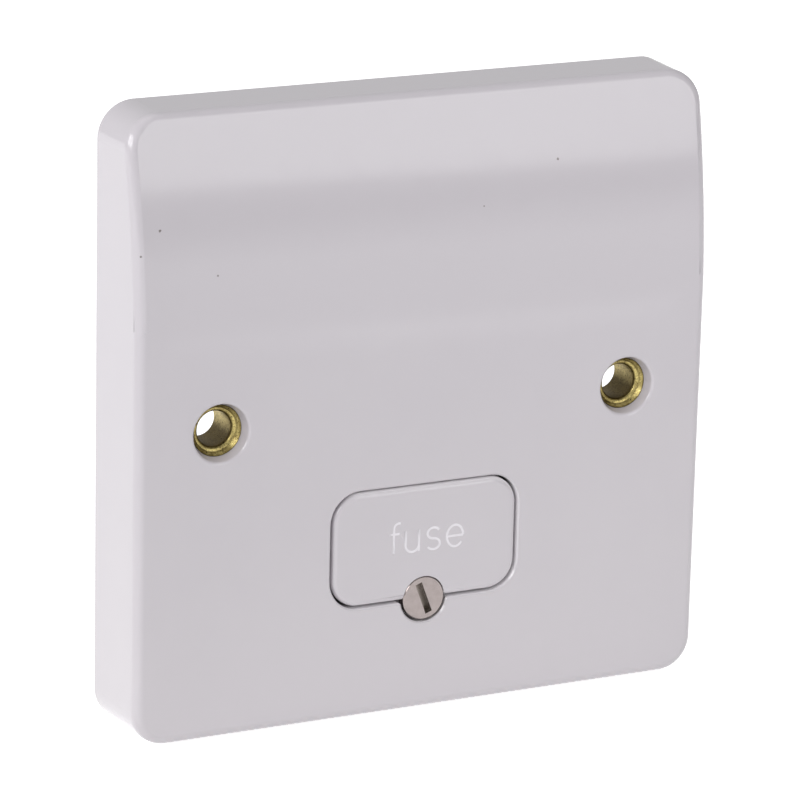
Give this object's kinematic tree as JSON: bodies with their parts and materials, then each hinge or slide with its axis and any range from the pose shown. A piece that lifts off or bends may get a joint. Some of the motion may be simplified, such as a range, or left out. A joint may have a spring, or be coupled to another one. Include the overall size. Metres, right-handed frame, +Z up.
{
  "type": "fused spur unit",
  "caption": "Square moulded wall plate with a pull-out fuse drawer, two eyeletted fixing holes and rear cable terminals.",
  "frame": {"origin": "midway between the two fixing holes, level with the rear ends of their eyelets, 5 mm in front of the wall", "axes": "+X to the right seen from the room, +Y into the wall, +Z up"},
  "size_m": [0.085, 0.0283, 0.085],
  "materials": {
    "white_moulding": "gloss urea moulding, slightly aged white",
    "rear_plastic": "satin moulded off-white",
    "tarnished_brass": "turned brass, dulled by age",
    "terminal_brass": "bright drawn brass",
    "strip_metal": "rolled strip, satin",
    "plated_steel": "zinc plated",
    "nickel_screw": "nickel plated, faced flat",
    "fuse_body": "fired ceramic tube",
    "fuse_metal": "nickel plated caps"
  },
  "bodies": {
    "unit": {"front_plate": "white_moulding", "rear_moulding": "rear_plastic", "left_eyelet": "tarnished_brass", "right_eyelet": "tarnished_brass", "earth_strap": "strip_metal", "earth_terminal": "terminal_brass", "neutral_terminal": "terminal_brass", "supply_terminal": "terminal_brass", "load_terminal": "terminal_brass", "supply_fuse_clip": "strip_metal", "load_fuse_clip": "strip_metal", "screw_insert": "terminal_brass", "assembly_screws": "plated_steel"},
    "fuse_drawer": {"fuse_carrier": "white_moulding", "fuse_tube": "fuse_body", "supply_fuse_cap": "fuse_metal", "load_fuse_cap": "fuse_metal", "screw_retaining_ring": "plated_steel"},
    "drawer_screw": {"carrier_screw": "nickel_screw"},
    "neutral_supply_clamp": {"neutral_supply_screw": "terminal_brass"},
    "neutral_load_clamp": {"neutral_load_screw": "terminal_brass"},
    "earth_supply_clamp": {"earth_supply_screw": "terminal_brass"},
    "earth_load_clamp": {"earth_load_screw": "terminal_brass"},
    "supply_clamp": {"supply_screw": "terminal_brass"},
    "load_clamp": {"load_screw": "terminal_brass"}
  },
  "joints": [
    {"name": "drawer_slide", "type": "slide", "parent": "unit", "child": "fuse_drawer", "axis": [0, -1, 0], "range_m": [0, 0.018]},
    {"name": "drawer_screw_turn", "type": "hinge", "parent": "fuse_drawer", "child": "drawer_screw", "pos_m": [0, -0.0078, -0.02645], "axis": [0, -1, 0], "continuous": true},
    {"name": "neutral_supply_screw_travel", "type": "slide", "parent": "unit", "child": "neutral_supply_clamp", "axis": [0, -1, 0], "range_m": [0, 0.0039]},
    {"name": "neutral_load_screw_travel", "type": "slide", "parent": "unit", "child": "neutral_load_clamp", "axis": [0, -1, 0], "range_m": [0, 0.0039]},
    {"name": "earth_supply_screw_travel", "type": "slide", "parent": "unit", "child": "earth_supply_clamp", "axis": [0, -1, 0], "range_m": [0, 0.0039]},
    {"name": "earth_load_screw_travel", "type": "slide", "parent": "unit", "child": "earth_load_clamp", "axis": [0, -1, 0], "range_m": [0, 0.0039]},
    {"name": "supply_screw_travel", "type": "slide", "parent": "unit", "child": "supply_clamp", "axis": [0, -1, 0], "range_m": [0, 0.0039]},
    {"name": "load_screw_travel", "type": "slide", "parent": "unit", "child": "load_clamp", "axis": [0, -1, 0], "range_m": [0, 0.0039]}
  ]
}
